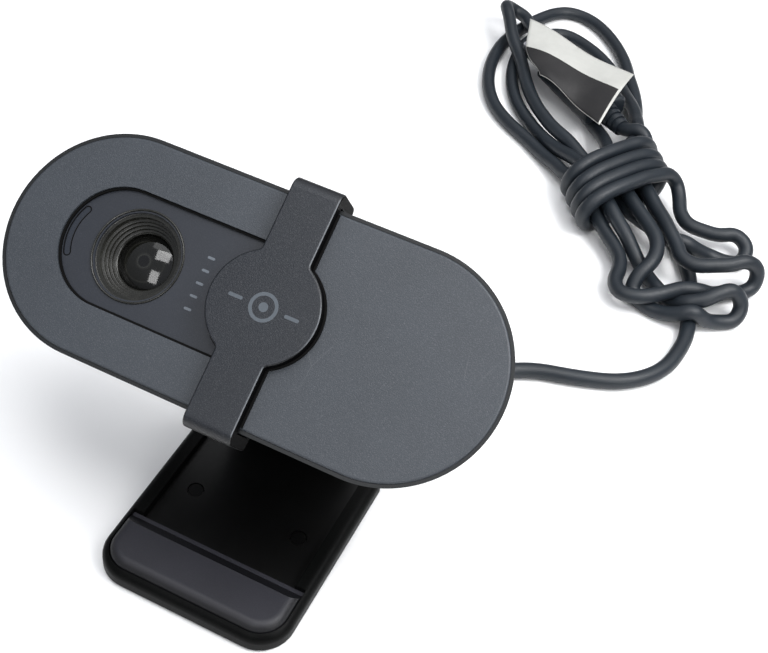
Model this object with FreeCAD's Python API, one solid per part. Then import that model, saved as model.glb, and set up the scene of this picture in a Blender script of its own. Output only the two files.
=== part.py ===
import FreeCAD, Part
import math
import os

os.makedirs("parts", exist_ok=True)

V = FreeCAD.Vector

# ---------------------------------------------------------------- driving dimensions (mm)
BODY_L = 112.2          # length of the pill shaped body
BODY_H = 48.8           # height of the pill shaped body
BODY_T = 20.0           # front face to back
DRAFT = 3.0             # how much smaller the back is than the front, each side
BACK_FILLET = 7.5
WALL = 1.8

PLATE_T = 2.6           # front plate
RIM_W = 0.75            # rim of the rear shell that shows round the front plate
RIM_DROP = 0.35         # rim top below the front face

REC_LEFT = -43.6        # left end of the recess
REC_H = 26.2            # height of the recess
REC_RIGHT = 4.0         # right end of the recess, under the shutter
REC_FLOOR = -1.1        # surface of the lens panel
LEDGE = 1.5

LENS_X = -26.1
RING_R = 10.2
SLOT_CX = -31.0         # centre of the indicator slot's curve
SLOT_R = 11.0           # centre line radius of the indicator slot
SLOT_W = 1.5
SLOT_A0, SLOT_A1 = 153.0, 206.0

BAND_X = 4.5            # shutter position when open
BAND_W = 10.9           # strap width
DISC_R = 12.0
BAND_GAP = 0.35
BAND_TOP = 2.9          # strap stands this far in front of the face
BAND_OUT = 3.1          # strap stands this far outside the body's edges
BAND_BACK = 8.6         # hook depth behind the face
SHUTTER_TRAVEL = 30.6

TILT = 34.66             # lean of the face away from the level foot, degrees
CLIP_X = 6.8            # the clip sits right of the body's middle
LEG_U = 46.2            # width of the foot
LEG_T = 2.4             # floor of the foot's tray
LEG_RIM = 5.2           # height of the side rims
LEG_RIM_W = 4.0
PAD_T = 0.8
FOOT_PLANE = 50.9       # depth of the tray's upper surface behind the face, below the body's lower edge
LEG_FRONT = 47.1        # tray's front end, from the body's lower edge, along the foot
LIP_BACK = 31.2         # rear edge of the lip block
LIP_TOP = 6.5
HINGE_R = 4.2           # knuckle radius
PIN_R = 1.5
PIN_CLEAR = 0.05

CORD_D = 4.2


# ---------------------------------------------------------------- helpers
def stadium_wire(length, height, z, x0=0.0, y0=0.0):
    r = height / 2.0
    a = length / 2.0 - r
    p1, p2 = V(x0 - a, y0 - r, z), V(x0 + a, y0 - r, z)
    p3, p4 = V(x0 + a, y0 + r, z), V(x0 - a, y0 + r, z)
    e = [
        Part.LineSegment(p1, p2).toShape(),
        Part.Arc(p2, V(x0 + a + r, y0, z), p3).toShape(),
        Part.LineSegment(p3, p4).toShape(),
        Part.Arc(p4, V(x0 - a - r, y0, z), p1).toShape(),
    ]
    return Part.Wire(e)


def stadium(length, height, z0, z1, x0=0.0, y0=0.0):
    f = Part.Face(stadium_wire(length, height, z0, x0, y0))
    return f.extrude(V(0, 0, z1 - z0))


def loft_stadium(l0, h0, z0, l1, h1, z1):
    return Part.makeLoft([stadium_wire(l0, h0, z0), stadium_wire(l1, h1, z1)], True, True)


def box(x0, x1, y0, y1, z0, z1):
    return Part.makeBox(x1 - x0, y1 - y0, z1 - z0, V(x0, y0, z0))


def cyl(x, y, z0, z1, r):
    return Part.makeCylinder(r, z1 - z0, V(x, y, z0), V(0, 0, 1))


def cyl_x(x0, x1, y, z, r):
    return Part.makeCylinder(r, x1 - x0, V(x0, y, z), V(1, 0, 0))


def fillet_where(shape, radius, test):
    edges = [e for e in shape.Edges if test(e)]
    if not edges:
        raise ValueError("no edges to round")
    out = shape.makeFillet(radius, edges)
    if not out.isValid() or out.Volume <= 0:
        raise ValueError("bad fillet")
    return out


def try_fillet(shape, radii, test, what):
    for r in radii:
        try:
            return fillet_where(shape, r, test)
        except Exception:
            continue
    print("no fillet on", what)
    return shape


def at_z(z, tol=1e-4):
    return lambda e: abs(e.BoundBox.ZMin - z) < tol and abs(e.BoundBox.ZMax - z) < tol


def revolve_profile(points, x0):
    # points are (radius, z); the solid turns about the vertical line through (x0, 0)
    pts = [V(x0 + r, 0, z) for r, z in points]
    w = Part.makePolygon(pts + [pts[0]])
    return Part.Face(w).revolve(V(x0, 0, 0), V(0, 0, 1), 360)


def d_shape(off, z0, z1):
    # the recess outline: round at the left, square with small corners at the right
    r = REC_H / 2.0 - off
    xc = REC_LEFT + REC_H / 2.0
    xr = REC_RIGHT - off
    c = 2.0
    p = [
        V(xc, r, z0), V(xr - c, r, z0), V(xr, r - c, z0), V(xr, -r + c, z0),
        V(xr - c, -r, z0), V(xc, -r, z0),
    ]
    k = c * (1 - math.sqrt(0.5))
    e = [
        Part.LineSegment(p[0], p[1]).toShape(),
        Part.Arc(p[1], V(xr - k, r - k, z0), p[2]).toShape(),
        Part.LineSegment(p[2], p[3]).toShape(),
        Part.Arc(p[3], V(xr - k, -r + k, z0), p[4]).toShape(),
        Part.LineSegment(p[4], p[5]).toShape(),
        Part.Arc(p[5], V(xc - r, 0, z0), p[0]).toShape(),
    ]
    return Part.Face(Part.Wire(e)).extrude(V(0, 0, z1 - z0))


def arc_slot(cx, rad, width, a0, a1, z0, z1):
    # curved slot with round ends
    ri, ro = rad - width / 2.0, rad + width / 2.0

    def pt(r, a):
        return V(cx + r * math.cos(math.radians(a)), r * math.sin(math.radians(a)), z0)

    am = (a0 + a1) / 2.0

    def cap(a, sgn):
        c = pt(rad, a)
        t = math.radians(a) + sgn * math.pi / 2
        return V(c.x + width / 2.0 * math.cos(t), c.y + width / 2.0 * math.sin(t), z0)

    e = [
        Part.Arc(pt(ro, a0), pt(ro, am), pt(ro, a1)).toShape(),
        Part.Arc(pt(ro, a1), cap(a1, 1), pt(ri, a1)).toShape(),
        Part.Arc(pt(ri, a1), pt(ri, am), pt(ri, a0)).toShape(),
        Part.Arc(pt(ri, a0), cap(a0, -1), pt(ro, a0)).toShape(),
    ]
    return Part.Face(Part.Wire(e)).extrude(V(0, 0, z1 - z0))


PARTS = {}


def keep(name, shape):
    if shape.ShapeType != "Solid":
        s = shape.Solids
        if len(s) == 1:
            shape = s[0]
    PARTS[name] = shape


# ---------------------------------------------------------------- body frame
# x along the pill, y across it, z out of the front face; face at z = 0
HB = BODY_H / 2.0
ZP = -PLATE_T

# front plate, set inside the rear shell's rim
plate = stadium(BODY_L - 2 * RIM_W - 0.1, BODY_H - 2 * RIM_W - 0.1, ZP, 0.0)
plate = try_fillet(plate, (0.5, 0.3), at_z(0.0), "front plate edge")
plate = plate.cut(d_shape(0.0, REC_FLOOR - 1.0, 1.0))
plate = plate.cut(d_shape(LEDGE, ZP - 1.0, 1.0))
# locating ring that drops inside the shell
spig = stadium(BODY_L - 2 * WALL - 1.6, BODY_H - 2 * WALL - 1.6, ZP - 1.6, ZP)
spig = spig.cut(stadium(BODY_L - 2 * WALL - 4.0, BODY_H - 2 * WALL - 4.0, ZP - 2.0, ZP + 0.5))
plate = plate.fuse(spig)
# screw bosses
BOSSES = [(-38.0, 11.5), (-38.0, -11.5), (38.0, 11.5), (38.0, -11.5)]
BOSS_Z = -13.0
for bx, by in BOSSES:
    plate = plate.fuse(cyl(bx, by, BOSS_Z, ZP + 0.2, 2.6))
for bx, by in BOSSES:
    plate = plate.cut(cyl(bx, by, BOSS_Z - 1, -5.0, 1.0))
plate = plate.cut(arc_slot(SLOT_CX, SLOT_R, SLOT_W + 0.4, SLOT_A0 - 1.5, SLOT_A1 + 1.5, -6.0, 1.0))
plate = plate.removeSplitter()
keep("front_plate", plate)

# lens panel in the recess
panel = d_shape(0.4, REC_FLOOR - 0.95, REC_FLOOR)
panel = panel.cut(cyl(LENS_X, 0, REC_FLOOR - 3, 1, RING_R - 0.8))
panel = panel.cut(arc_slot(SLOT_CX, SLOT_R, SLOT_W, SLOT_A0, SLOT_A1, REC_FLOOR - 3, 1))
keep("lens_panel", panel)

# light pipe of the indicator slot
pipe = arc_slot(SLOT_CX, SLOT_R, SLOT_W - 0.16, SLOT_A0, SLOT_A1, REC_FLOOR - 1.1, REC_FLOOR - 0.1)
pipe = pipe.fuse(arc_slot(SLOT_CX, SLOT_R - 0.3, SLOT_W - 0.5, SLOT_A0 + 10, SLOT_A1 - 10, -9.0, REC_FLOOR - 1.0))
keep("indicator_light_pipe", pipe.removeSplitter())

# lens surround with a stepped light baffle
S0 = REC_FLOOR + 0.35
surround = revolve_profile(
    [
        (RING_R - 0.35, S0), (RING_R, S0 - 0.3), (RING_R, REC_FLOOR + 0.02), (RING_R - 0.85, REC_FLOOR + 0.02),
        (RING_R - 0.85, -7.6), (6.45, -7.6), (6.45, -6.0), (6.15, -5.9), (6.15, -5.15),
        (6.75, -5.0), (6.75, -4.25), (7.35, -4.1), (7.35, -3.35), (7.95, -3.2),
        (7.95, -2.45), (8.55, -2.3), (8.6, -1.7), (9.3, S0),
    ],
    LENS_X,
)
keep("lens_surround", surround)

# front glass, domed
glass_r, zb, zs = 6.1, -7.4, -6.1
dome_h = 1.35
dome_r = (glass_r ** 2 + dome_h ** 2) / (2 * dome_h)
glass = cyl(LENS_X, 0, zb, zs + dome_h + 1.0, glass_r)
glass = glass.common(Part.makeSphere(dome_r, V(LENS_X, 0, zs + dome_h - dome_r)))
keep("front_glass", glass)

# lens barrel and what it carries
barrel = revolve_profile(
    [(6.9, -7.65), (6.9, -9.2), (5.6, -9.2), (5.6, -13.2), (3.0, -13.2), (3.0, -12.4), (4.6, -12.4),
     (4.6, -8.6), (2.2, -8.4), (2.2, -8.0), (5.9, -7.65)],
    LENS_X,
)
keep("lens_barrel", barrel)
elem = []
for z0, t in ((-9.3, 1.0), (-11.3, 0.9)):
    d = cyl(LENS_X, 0, z0 - t, z0, 4.5)
    elem.append(d)
keep("lens_elements", Part.makeCompound(elem))
holder = box(LENS_X - 7.2, LENS_X + 7.2, -7.2, 7.2, -15.7, -13.25)
holder = holder.cut(box(LENS_X - 5.4, LENS_X + 5.4, -5.4, 5.4, -16.0, -14.35))
holder = holder.cut(cyl(LENS_X, 0, -17, -13, 3.4))
keep("lens_holder", holder)
keep("infrared_filter", box(LENS_X - 4.0, LENS_X + 4.0, -3.8, 3.8, -14.9, -14.4))
keep("image_sensor", box(LENS_X - 3.6, LENS_X + 3.6, -3.1, 3.1, -15.7, -15.0))

# main circuit board, its chips, screws, microphone, light, cable socket
PCB_Z0, PCB_Z1 = -16.8, -15.75
pcb = stadium(78.0, 24.0, PCB_Z0, PCB_Z1, -8.0, 0.0)
for px in (-41.5, 22.0):
    pcb = pcb.cut(cyl(px, 0.0, PCB_Z0 - 1, PCB_Z1 + 1, 1.2))
for bx, by in BOSSES:
    pcb = pcb.cut(cyl(bx, by, PCB_Z0 - 1, PCB_Z1 + 1, 3.9))
keep("main_circuit_board", pcb)
chips = [
    box(-14, -5, -4.5, 4.5, PCB_Z1 + 0.02, PCB_Z1 + 1.1),
    box(0, 5, 2, 6, PCB_Z1 + 0.02, PCB_Z1 + 0.9),
    box(2, 5.2, -6, -3.5, PCB_Z1 + 0.02, PCB_Z1 + 1.0),
    box(9, 12, 3, 5, PCB_Z1 + 0.02, PCB_Z1 + 0.7),
    box(-17.4, -15.8, 4, 6.5, PCB_Z1 + 0.02, PCB_Z1 + 0.8),
]
keep("board_chips", Part.makeCompound(chips))
keep("microphone", cyl(-12.0, 8.6, PCB_Z1 + 0.02, PCB_Z1 + 1.2, 1.9))
keep("indicator_led", box(-37.6, -35.6, -1.0, 1.0, PCB_Z1 + 0.02, PCB_Z1 + 1.0))
sock = box(12, 20, -9.5, -5.0, PCB_Z1 + 0.02, PCB_Z1 + 4.4).cut(box(12.8, 19.2, -10, -5.8, PCB_Z1 + 0.9, PCB_Z1 + 3.6))
keep("cable_socket", sock)
scr = []
for px in (-41.5, 22.0):
    scr.append(cyl(px, 0, -18.3, PCB_Z1 + 0.02, 0.95).fuse(cyl(px, 0, PCB_Z1 + 0.02, PCB_Z1 + 1.2, 2.0)))
keep("board_screws", Part.makeCompound(scr))

# rear shell
zb = -BODY_T
outer = loft_stadium(BODY_L, BODY_H, -RIM_DROP, BODY_L - 2 * DRAFT, BODY_H - 2 * DRAFT, zb)
outer = try_fillet(outer, (BACK_FILLET, 6.0, 4.5, 3.0), at_z(zb), "rear shell back edge")
inner_back = zb + WALL
k_in = (-RIM_DROP - inner_back) / BODY_T
inner = loft_stadium(BODY_L - 2 * WALL, BODY_H - 2 * WALL, -PLATE_T, BODY_L - 2 * DRAFT - 2 * WALL,
                     BODY_H - 2 * DRAFT - 2 * WALL, inner_back)
inner = try_fillet(inner, (BACK_FILLET - WALL, 4.5, 3.0, 2.0), at_z(inner_back), "rear shell inside")
shell = outer.cut(inner)
shell = shell.cut(stadium(BODY_L - 2 * RIM_W, BODY_H - 2 * RIM_W, -PLATE_T - 0.02, 1.0))
# thicker wall behind the shutter's grooves
GX0, GX1 = BAND_X - SHUTTER_TRAVEL - BAND_W / 2 - 0.6, BAND_X + BAND_W / 2 + 0.6
for s in (1, -1):
    y0, y1 = sorted((s * (HB - 4.6), s * (HB - 1.9)))
    shell = shell.fuse(box(GX0 - 1.5, GX1 + 1.5, y0, y1, -11.0, -4.6))
for s in (1, -1):
    y0, y1 = sorted((s * (HB - 2.4), s * (HB + 3)))
    shell = shell.cut(box(GX0, GX1, y0, y1, -BAND_BACK - 0.45, -BAND_BACK + 1.95))
# screw wells at the back, and posts for the circuit board
for bx, by in BOSSES:
    shell = shell.fuse(cyl(bx, by, zb + 1.0, BOSS_Z - 0.05, 3.4))
    shell = shell.cut(cyl(bx, by, zb - 1, zb + 3.6, 2.4))
    shell = shell.cut(cyl(bx, by, zb - 1, BOSS_Z + 1, 1.05))
for px in (-41.5, 22.0):
    shell = shell.fuse(cyl(px, 0, inner_back - 0.4, PCB_Z0 - 0.02, 3.0)).cut(cyl(px, 0, inner_back - 0.2, PCB_Z0 + 1, 1.0))

# hinge lugs on the back of the shell
AX_Y, AX_Z = -12.0, -24.6          # tilt axis
LUG_IN, LUG_OUT = 17.0, 21.5
for s in (1, -1):
    x0, x1 = sorted((CLIP_X + s * LUG_IN, CLIP_X + s * LUG_OUT))
    lug = cyl_x(x0, x1, AX_Y, AX_Z, HINGE_R)
    web = box(x0, x1, AX_Y - HINGE_R, AX_Y + HINGE_R, AX_Z, -18.6)
    shell = shell.fuse(lug.fuse(web))
shell = shell.cut(cyl_x(-30, 40, AX_Y, AX_Z, PIN_R + 0.01))

# outlet of the cord: a round hole with a boss
EX_X, EX_Y = 38.0, 0.0
shell = shell.cut(cyl(EX_X, EX_Y, zb - 1, zb + 5, 3.6))
shell = shell.removeSplitter()
keep("rear_shell", shell)

# shell screws
scr = []
for bx, by in BOSSES:
    head = cyl(bx, by, zb + 1.7, zb + 3.58, 2.2).cut(box(bx - 1.3, bx + 1.3, by - 0.25, by + 0.25, zb + 1.6, zb + 2.5))
    head = head.cut(box(bx - 0.25, bx + 0.25, by - 1.3, by + 1.3, zb + 1.6, zb + 2.5))
    scr.append(head.fuse(cyl(bx, by, zb + 3.5, -6.0, 0.97)))
keep("shell_screws", Part.makeCompound(scr))

# tilt hinge pin, held by the lugs
keep("tilt_pin", cyl_x(CLIP_X - LUG_OUT + 0.3, CLIP_X + LUG_OUT - 0.3, AX_Y, AX_Z, PIN_R))

# cord strain relief: flange inside, tapered sleeve outside
relief_len = 8.5
relief = cyl(EX_X, EX_Y, zb + WALL + 0.02, zb + WALL + 1.4, 5.0)
relief = relief.fuse(cyl(EX_X, EX_Y, zb - 0.5, zb + WALL + 0.1, 3.5))
cone = Part.makeCone(3.9, 2.75, relief_len - 1.0, V(EX_X, EX_Y, zb - 0.45), V(0, 0, -1))
relief = relief.fuse(cone)
for i in range(3):
    zc = zb - 2.2 - 1.7 * i
    ring = cyl(EX_X, EX_Y, zc - 0.35, zc + 0.35, 4.6).cut(cyl(EX_X, EX_Y, zc - 1, zc + 1, 2.85 - 0.08 * i))
    relief = relief.cut(ring)
keep("cord_strain_relief", relief.removeSplitter())

# ---------------------------------------------------------------- shutter: strap, disc and two hooks in one piece
yo = HB + BAND_OUT
yi = HB + BAND_GAP
strap = box(BAND_X - BAND_W / 2, BAND_X + BAND_W / 2, -yo, yo, -BAND_BACK, BAND_TOP)


def along_x_at(ya, za):
    def test(e):
        b = e.BoundBox
        return b.XLength > BAND_W - 0.5 and b.YLength < 1e-3 and b.ZLength < 1e-3 and abs(abs(b.YMin) - ya) < 1e-3 and abs(b.ZMin - za) < 1e-3
    return test


strap = try_fillet(strap, (2.6, 2.0), along_x_at(yo, BAND_TOP), "strap outer corners")
strap = try_fillet(strap, (1.4, 1.0), along_x_at(yo, -BAND_BACK), "strap hook corners")
disc = cyl(BAND_X, 0, BAND_GAP, BAND_TOP, DISC_R)
band = strap.fuse(disc).removeSplitter()
band = band.cut(box(BAND_X - 20, BAND_X + 20, -yi, yi, -BAND_BACK + 1.6, BAND_GAP))
band = band.cut(box(BAND_X - 20, BAND_X + 20, -(HB - 1.9), HB - 1.9, -BAND_BACK - 1, BAND_GAP))
band = band.removeSplitter()


def inner_corner(e):
    b = e.BoundBox
    return b.ZLength > 2.0 and b.XLength < 1e-3 and b.YLength < 1e-3 and abs(b.YMin) < 15 and abs(b.YMin) > 5


band = try_fillet(band, (1.2, 0.8, 0.4), inner_corner, "shutter inner corners")
band = try_fillet(band, (0.45, 0.3, 0.2), lambda e: abs(e.BoundBox.ZMin - BAND_TOP) < 1e-3, "shutter front edges")
keep("privacy_shutter", band)

# ---------------------------------------------------------------- place everything so far in the row frame
th = math.radians(TILT)
# upper surface of the tray (with pad) under the body's lower edge
y_e, z_e = -HB, -FOOT_PLANE
LIFT = (LEG_T + PAD_T) - (y_e * math.sin(th) + z_e * math.cos(th))
EDGE_Y = y_e * math.cos(th) - z_e * math.sin(th)      # where that point is along the foot, before centring
Y_SHIFT = 0.0


def to_row(shape):
    s = shape.copy()
    s.rotate(V(0, 0, 0), V(1, 0, 0), TILT)
    s.translate(V(0, Y_SHIFT, LIFT))
    return s


def row_point(x, y, z):
    return V(x, y * math.cos(th) - z * math.sin(th) + Y_SHIFT, y * math.sin(th) + z * math.cos(th) + LIFT)


FRONT_Y = EDGE_Y - LEG_FRONT
LIPB_Y = EDGE_Y - LIP_BACK
A = row_point(0, AX_Y, AX_Z)                 # tilt axis
B = V(0, A.y + 12.5, HINGE_R + 0.35)         # fold axis of the foot
print("tilt axis", A, "fold axis", B, "front", FRONT_Y, "lift", LIFT)

BODY_PARTS = dict(PARTS)
PARTS = {}
for n, s in BODY_PARTS.items():
    keep(n, to_row(s))

# ---------------------------------------------------------------- clip arm
ARM_T = 5.0
ARM_W = 33.2
dx = ARM_W / 2.0
d = B.sub(A)
L_arm = math.hypot(d.y, d.z)
ang = math.degrees(math.atan2(d.z, d.y))


def along_arm(shape):
    shape.rotate(V(0, 0, 0), V(1, 0, 0), ang)
    shape.translate(V(CLIP_X, A.y, A.z))
    return shape


arm = box(-dx + 0.8, dx - 0.8, 0, L_arm, -ARM_T / 2, ARM_T / 2)
# shallow stiffening channel on the rear side
arm = arm.cut(box(-dx + 4.0, dx - 4.0, 7.0, L_arm - 7.0, ARM_T / 2 - 1.2, ARM_T / 2 + 1))
arm = try_fillet(arm, (0.8, 0.5), lambda e: e.BoundBox.YLength > L_arm - 0.5, "arm edges")
arm = along_arm(arm)
arm = arm.fuse(cyl_x(CLIP_X - dx, CLIP_X + dx, A.y, A.z, HINGE_R - 0.1))
arm = arm.fuse(cyl_x(CLIP_X - dx, CLIP_X + dx, B.y, B.z, HINGE_R - 0.1))
arm = arm.cut(cyl_x(-60, 60, A.y, A.z, PIN_R + PIN_CLEAR)).cut(cyl_x(-60, 60, B.y, B.z, PIN_R + PIN_CLEAR))
arm = arm.removeSplitter()
keep("clip_arm", arm)
# soft pad on the side that rests on a screen's top edge
keep("arm_pad", along_arm(box(-13.5, 13.5, 5.8, L_arm - 5.8, -ARM_T / 2 - 1.0, -ARM_T / 2 - 0.02)))

# ---------------------------------------------------------------- clip foot: tray, lip, pad
u = LEG_U / 2.0
REAR_Y = B.y - HINGE_R - 0.6
CORNER_R = 8.0
LIP_INSET = 1.5


def foot_plan(inset, z0, z1, y_back):
    # foot outline, rounded at the two front corners
    ux, yf, r = u - inset, FRONT_Y + inset, CORNER_R - inset
    k = r * (1 - math.sqrt(0.5))
    p = [V(CLIP_X - ux, y_back, z0), V(CLIP_X - ux, yf + r, z0), V(CLIP_X - ux + r, yf, z0),
         V(CLIP_X + ux - r, yf, z0), V(CLIP_X + ux, yf + r, z0), V(CLIP_X + ux, y_back, z0)]
    e = [Part.LineSegment(p[0], p[1]).toShape(),
         Part.Arc(p[1], V(CLIP_X - ux + k, yf + k, z0), p[2]).toShape(),
         Part.LineSegment(p[2], p[3]).toShape(),
         Part.Arc(p[3], V(CLIP_X + ux - k, yf + k, z0), p[4]).toShape(),
         Part.LineSegment(p[4], p[5]).toShape(),
         Part.LineSegment(p[5], p[0]).toShape()]
    return Part.Face(Part.Wire(e)).extrude(V(0, 0, z1 - z0))


plan = foot_plan(0.0, 0.0, LEG_RIM, REAR_Y)
plan = try_fillet(plan, (2.2, 1.6, 1.2), lambda e: at_z(LEG_RIM)(e) and e.BoundBox.YMin < REAR_Y - 0.5, "foot rim")
plan = try_fillet(plan, (1.0, 0.6), lambda e: at_z(0.0)(e) and e.BoundBox.YMin < REAR_Y - 0.5, "foot bottom edge")
tray = plan.cut(box(CLIP_X - u + LEG_RIM_W, CLIP_X + u - LEG_RIM_W, LIPB_Y, B.y + 20, LEG_T, LEG_RIM + 1))
tray = tray.cut(foot_plan(LIP_INSET, LEG_T, LEG_RIM + 1, LIPB_Y))
for s in (1, -1):
    x0, x1 = sorted((CLIP_X + s * (dx + 0.4), CLIP_X + s * (u - 0.6)))
    ear = cyl_x(x0, x1, B.y, B.z, HINGE_R)
    web = box(x0, x1, B.y - HINGE_R - 1.2, B.y, 0.0, LEG_RIM - 1.2)
    tray = tray.fuse(ear).fuse(web)
tray = tray.cut(cyl_x(-60, 60, B.y, B.z, PIN_R + 0.01))
# clearance for the arm's knuckle between the ears
tray = tray.cut(cyl_x(CLIP_X - dx - 0.3, CLIP_X + dx + 0.3, B.y, B.z, HINGE_R + 0.35))
tray = tray.removeSplitter()
keep("foot_tray", tray)

# lip: block set in the tray's front end, inside a thin rim, sloped at its rear, rounded all round
lip = foot_plan(LIP_INSET + 0.08, LEG_T + 0.02, LIP_TOP, LIPB_Y - 0.05)
slope = Part.Face(Part.makePolygon([
    V(-60, LIPB_Y + 1, LIP_TOP + 1), V(-60, LIPB_Y - 3.9, LIP_TOP + 1), V(-60, LIPB_Y - 3.9, LIP_TOP),
    V(-60, LIPB_Y - 1.0, LEG_T + PAD_T + 0.7), V(-60, LIPB_Y + 1, LEG_T + PAD_T + 0.7), V(-60, LIPB_Y + 1, LIP_TOP + 1)]))
lip = lip.cut(slope.extrude(V(120, 0, 0)))
lip = try_fillet(lip, (2.4, 2.0, 1.6, 1.0), lambda e: at_z(LIP_TOP)(e) and e.BoundBox.YMin < LIPB_Y - 5.0, "lip top")
keep("foot_lip", lip)
pad = box(CLIP_X - u + LEG_RIM_W + 0.1, CLIP_X + u - LEG_RIM_W - 0.1, LIPB_Y + 0.1, REAR_Y - 0.3, LEG_T + 0.02, LEG_T + PAD_T)
SCREW_Y = -10.1
for sx in (-13.3, 13.3):
    pad = pad.cut(cyl(CLIP_X + sx, SCREW_Y, 0, 10, 1.9))
keep("foot_pad", pad)
scr = []
for sx in (-13.3, 13.3):
    scr.append(cyl(CLIP_X + sx, SCREW_Y, LEG_T + 0.02, LEG_T + 0.6, 1.7))
keep("foot_screws", Part.makeCompound(scr))
keep("fold_pin", cyl_x(CLIP_X - u + 1.4, CLIP_X + u - 1.4, B.y, B.z, PIN_R))
# friction washers at both hinges
for nm, P in (("tilt_washers", A), ("fold_washers", B)):
    w = []
    for s in (1, -1):
        x0, x1 = sorted((CLIP_X + s * (dx + 0.04), CLIP_X + s * (dx + 0.34)))
        w.append(cyl_x(x0, x1, P.y, P.z, 3.4).cut(cyl_x(-60, 60, P.y, P.z, PIN_R + PIN_CLEAR)))
    keep(nm, Part.makeCompound(w))

# ---------------------------------------------------------------- cord: lead, hank, plug, label
CORD_R = CORD_D / 2.0
tip = row_point(EX_X, EX_Y, -BODY_T - relief_len + 0.55)
out = V(0, math.sin(th), -math.cos(th))          # the way the cord leaves the body
LEAD = [
    tip, tip + out * 13.0,
    V(36.6, 36.0, 13.2), V(35.0, 47.0, 5.0), V(38.5, 58.6, CORD_R), V(47.5, 65.4, CORD_R),
    V(59.2, 68.6, CORD_R), V(70.6, 73.4, CORD_R), V(78.4, 82.6, CORD_R), V(80.3, 94.0, CORD_R),
    V(79.4, 104.5, CORD_R),
]


def route_wire(points, label):
    edges = []
    last = points[0]
    for i in range(1, len(points) - 1):
        a, b, c = points[i - 1], points[i], points[i + 1]
        u1, u2 = b.sub(a), c.sub(b)
        l1, l2 = u1.Length, u2.Length
        turn = u1.getAngle(u2)
        cut = 0.45 * min(l1, l2)
        rad = cut / math.tan(turn / 2.0)
        u1.normalize()
        u2.normalize()
        p, q = b - u1 * cut, b + u2 * cut
        bis = (u2 - u1)
        bis.normalize()
        m = b + bis * (rad / math.cos(turn / 2.0) - rad)
        edges.append(Part.LineSegment(last, p).toShape())
        edges.append(Part.Arc(p, m, q).toShape())
        last = q
        print("%s point %d run %.1f turn %.0f deg radius %.1f" % (label, i, l1, math.degrees(turn), rad))
    edges.append(Part.LineSegment(last, points[-1]).toShape())
    w = Part.Wire(edges)
    print(label, "length %.1f" % w.Length)
    return w


path = route_wire(LEAD, "lead")
prof = Part.Wire(Part.Circle(LEAD[0], (LEAD[1] - LEAD[0]).normalize(), CORD_R).toShape())
tube = path.makePipeShell([prof], True, False)
tube = tube if tube.ShapeType == "Solid" else Part.Solid(Part.Shell(tube.Faces))
print("lead volume %.1f, section times length %.1f" % (tube.Volume, math.pi * CORD_R ** 2 * path.Length))
keep("cord_lead", tube)

# hank: outer shape, along the line from its lower end to its upper end
HC = V(43.5, 141.0, 0)
HU = V(-0.578, 0.816, 0)
HU.normalize()
HV = V(HU.y, -HU.x, 0)
# station along the hank, left edge, right edge, height
HANK = [
    (-57.0, 8.0, 19.0, 7.0), (-53.0, -1.0, 25.0, 9.6), (-45.0, -11.0, 31.0, 12.6), (-38.0, -13.6, 37.0, 13.4),
    (-28.0, -8.5, 36.5, 13.0), (-18.0, -11.5, 28.0, 13.8), (-9.0, -14.0, 22.0, 16.8), (4.0, -14.5, 23.5, 17.2),
    (16.0, -13.5, 22.5, 17.0), (26.0, -17.0, 22.5, 13.0), (38.0, -24.0, 23.5, 10.5), (55.0, -27.5, 27.5, 10.0),
    (72.0, -24.5, 30.5, 10.0), (88.0, -15.0, 29.0, 9.5), (99.0, -11.5, 22.0, 7.5), (106.5, -7.0, 13.0, 5.5),
]
secs = []
for su, vl, vr, h in HANK:
    w = vr - vl
    pts = [(vl, 0.02), (vl, 0.5 * h), (vl + 0.18 * w, 0.9 * h), (vl + 0.5 * w, h), (vr - 0.18 * w, 0.9 * h), (vr, 0.5 * h), (vr, 0.02)]
    P = [HC + HU * su + HV * v + V(0, 0, z) for v, z in pts]
    secs.append(Part.makePolygon(P + [P[0]]))
hank = Part.makeLoft(secs, True, True)

# plug: lies flat among the upper loops of the hank
PLUG_END = V(37.2, 168.5, 8.3)        # where the cord enters the strain relief
PLUG_DIR = V(-0.807, 0.591, 0)
PLUG_DIR.normalize()
GRIP_L, GRIP_W, GRIP_T = 27.0, 15.6, 7.6
RELIEF_L = 9.0
SHELL_L, SHELL_W, SHELL_T = 12.2, 12.0, 4.5
plug_ang = math.degrees(math.atan2(PLUG_DIR.y, PLUG_DIR.x))


def on_plug(shape):
    shape.rotate(V(0, 0, 0), V(0, 0, 1), plug_ang)
    shape.translate(PLUG_END)
    return shape


relief2 = Part.makeCone(2.7, 3.7, RELIEF_L, V(0, 0, 0), V(1, 0, 0))
for i in range(3):
    xc = 1.8 + 2.1 * i
    relief2 = relief2.cut(cyl_x(xc - 0.45, xc + 0.45, 0, 0, 5.0).cut(cyl_x(xc - 1, xc + 1, 0, 0, 2.45 + 0.2 * i)))
grip = box(RELIEF_L, RELIEF_L + GRIP_L, -GRIP_W / 2, GRIP_W / 2, -GRIP_T / 2, GRIP_T / 2)
grip = try_fillet(grip, (2.4, 1.8, 1.2), lambda e: e.BoundBox.XLength > GRIP_L - 1, "grip edges")
grip = try_fillet(grip, (1.0, 0.7), lambda e: e.BoundBox.XLength < 0.01 and abs(e.BoundBox.XMin - RELIEF_L) < 0.01, "grip end")
x_s = RELIEF_L + GRIP_L
sh = box(x_s - 5.0, x_s + SHELL_L, -SHELL_W / 2, SHELL_W / 2, -SHELL_T / 2, SHELL_T / 2)
sh = try_fillet(sh, (0.5,), lambda e: e.BoundBox.XLength > SHELL_L, "plug shell edges")
grip = grip.cut(box(x_s - 5.02, x_s + 1, -SHELL_W / 2 - 0.02, SHELL_W / 2 + 0.02, -SHELL_T / 2 - 0.02, SHELL_T / 2 + 0.02))
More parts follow.
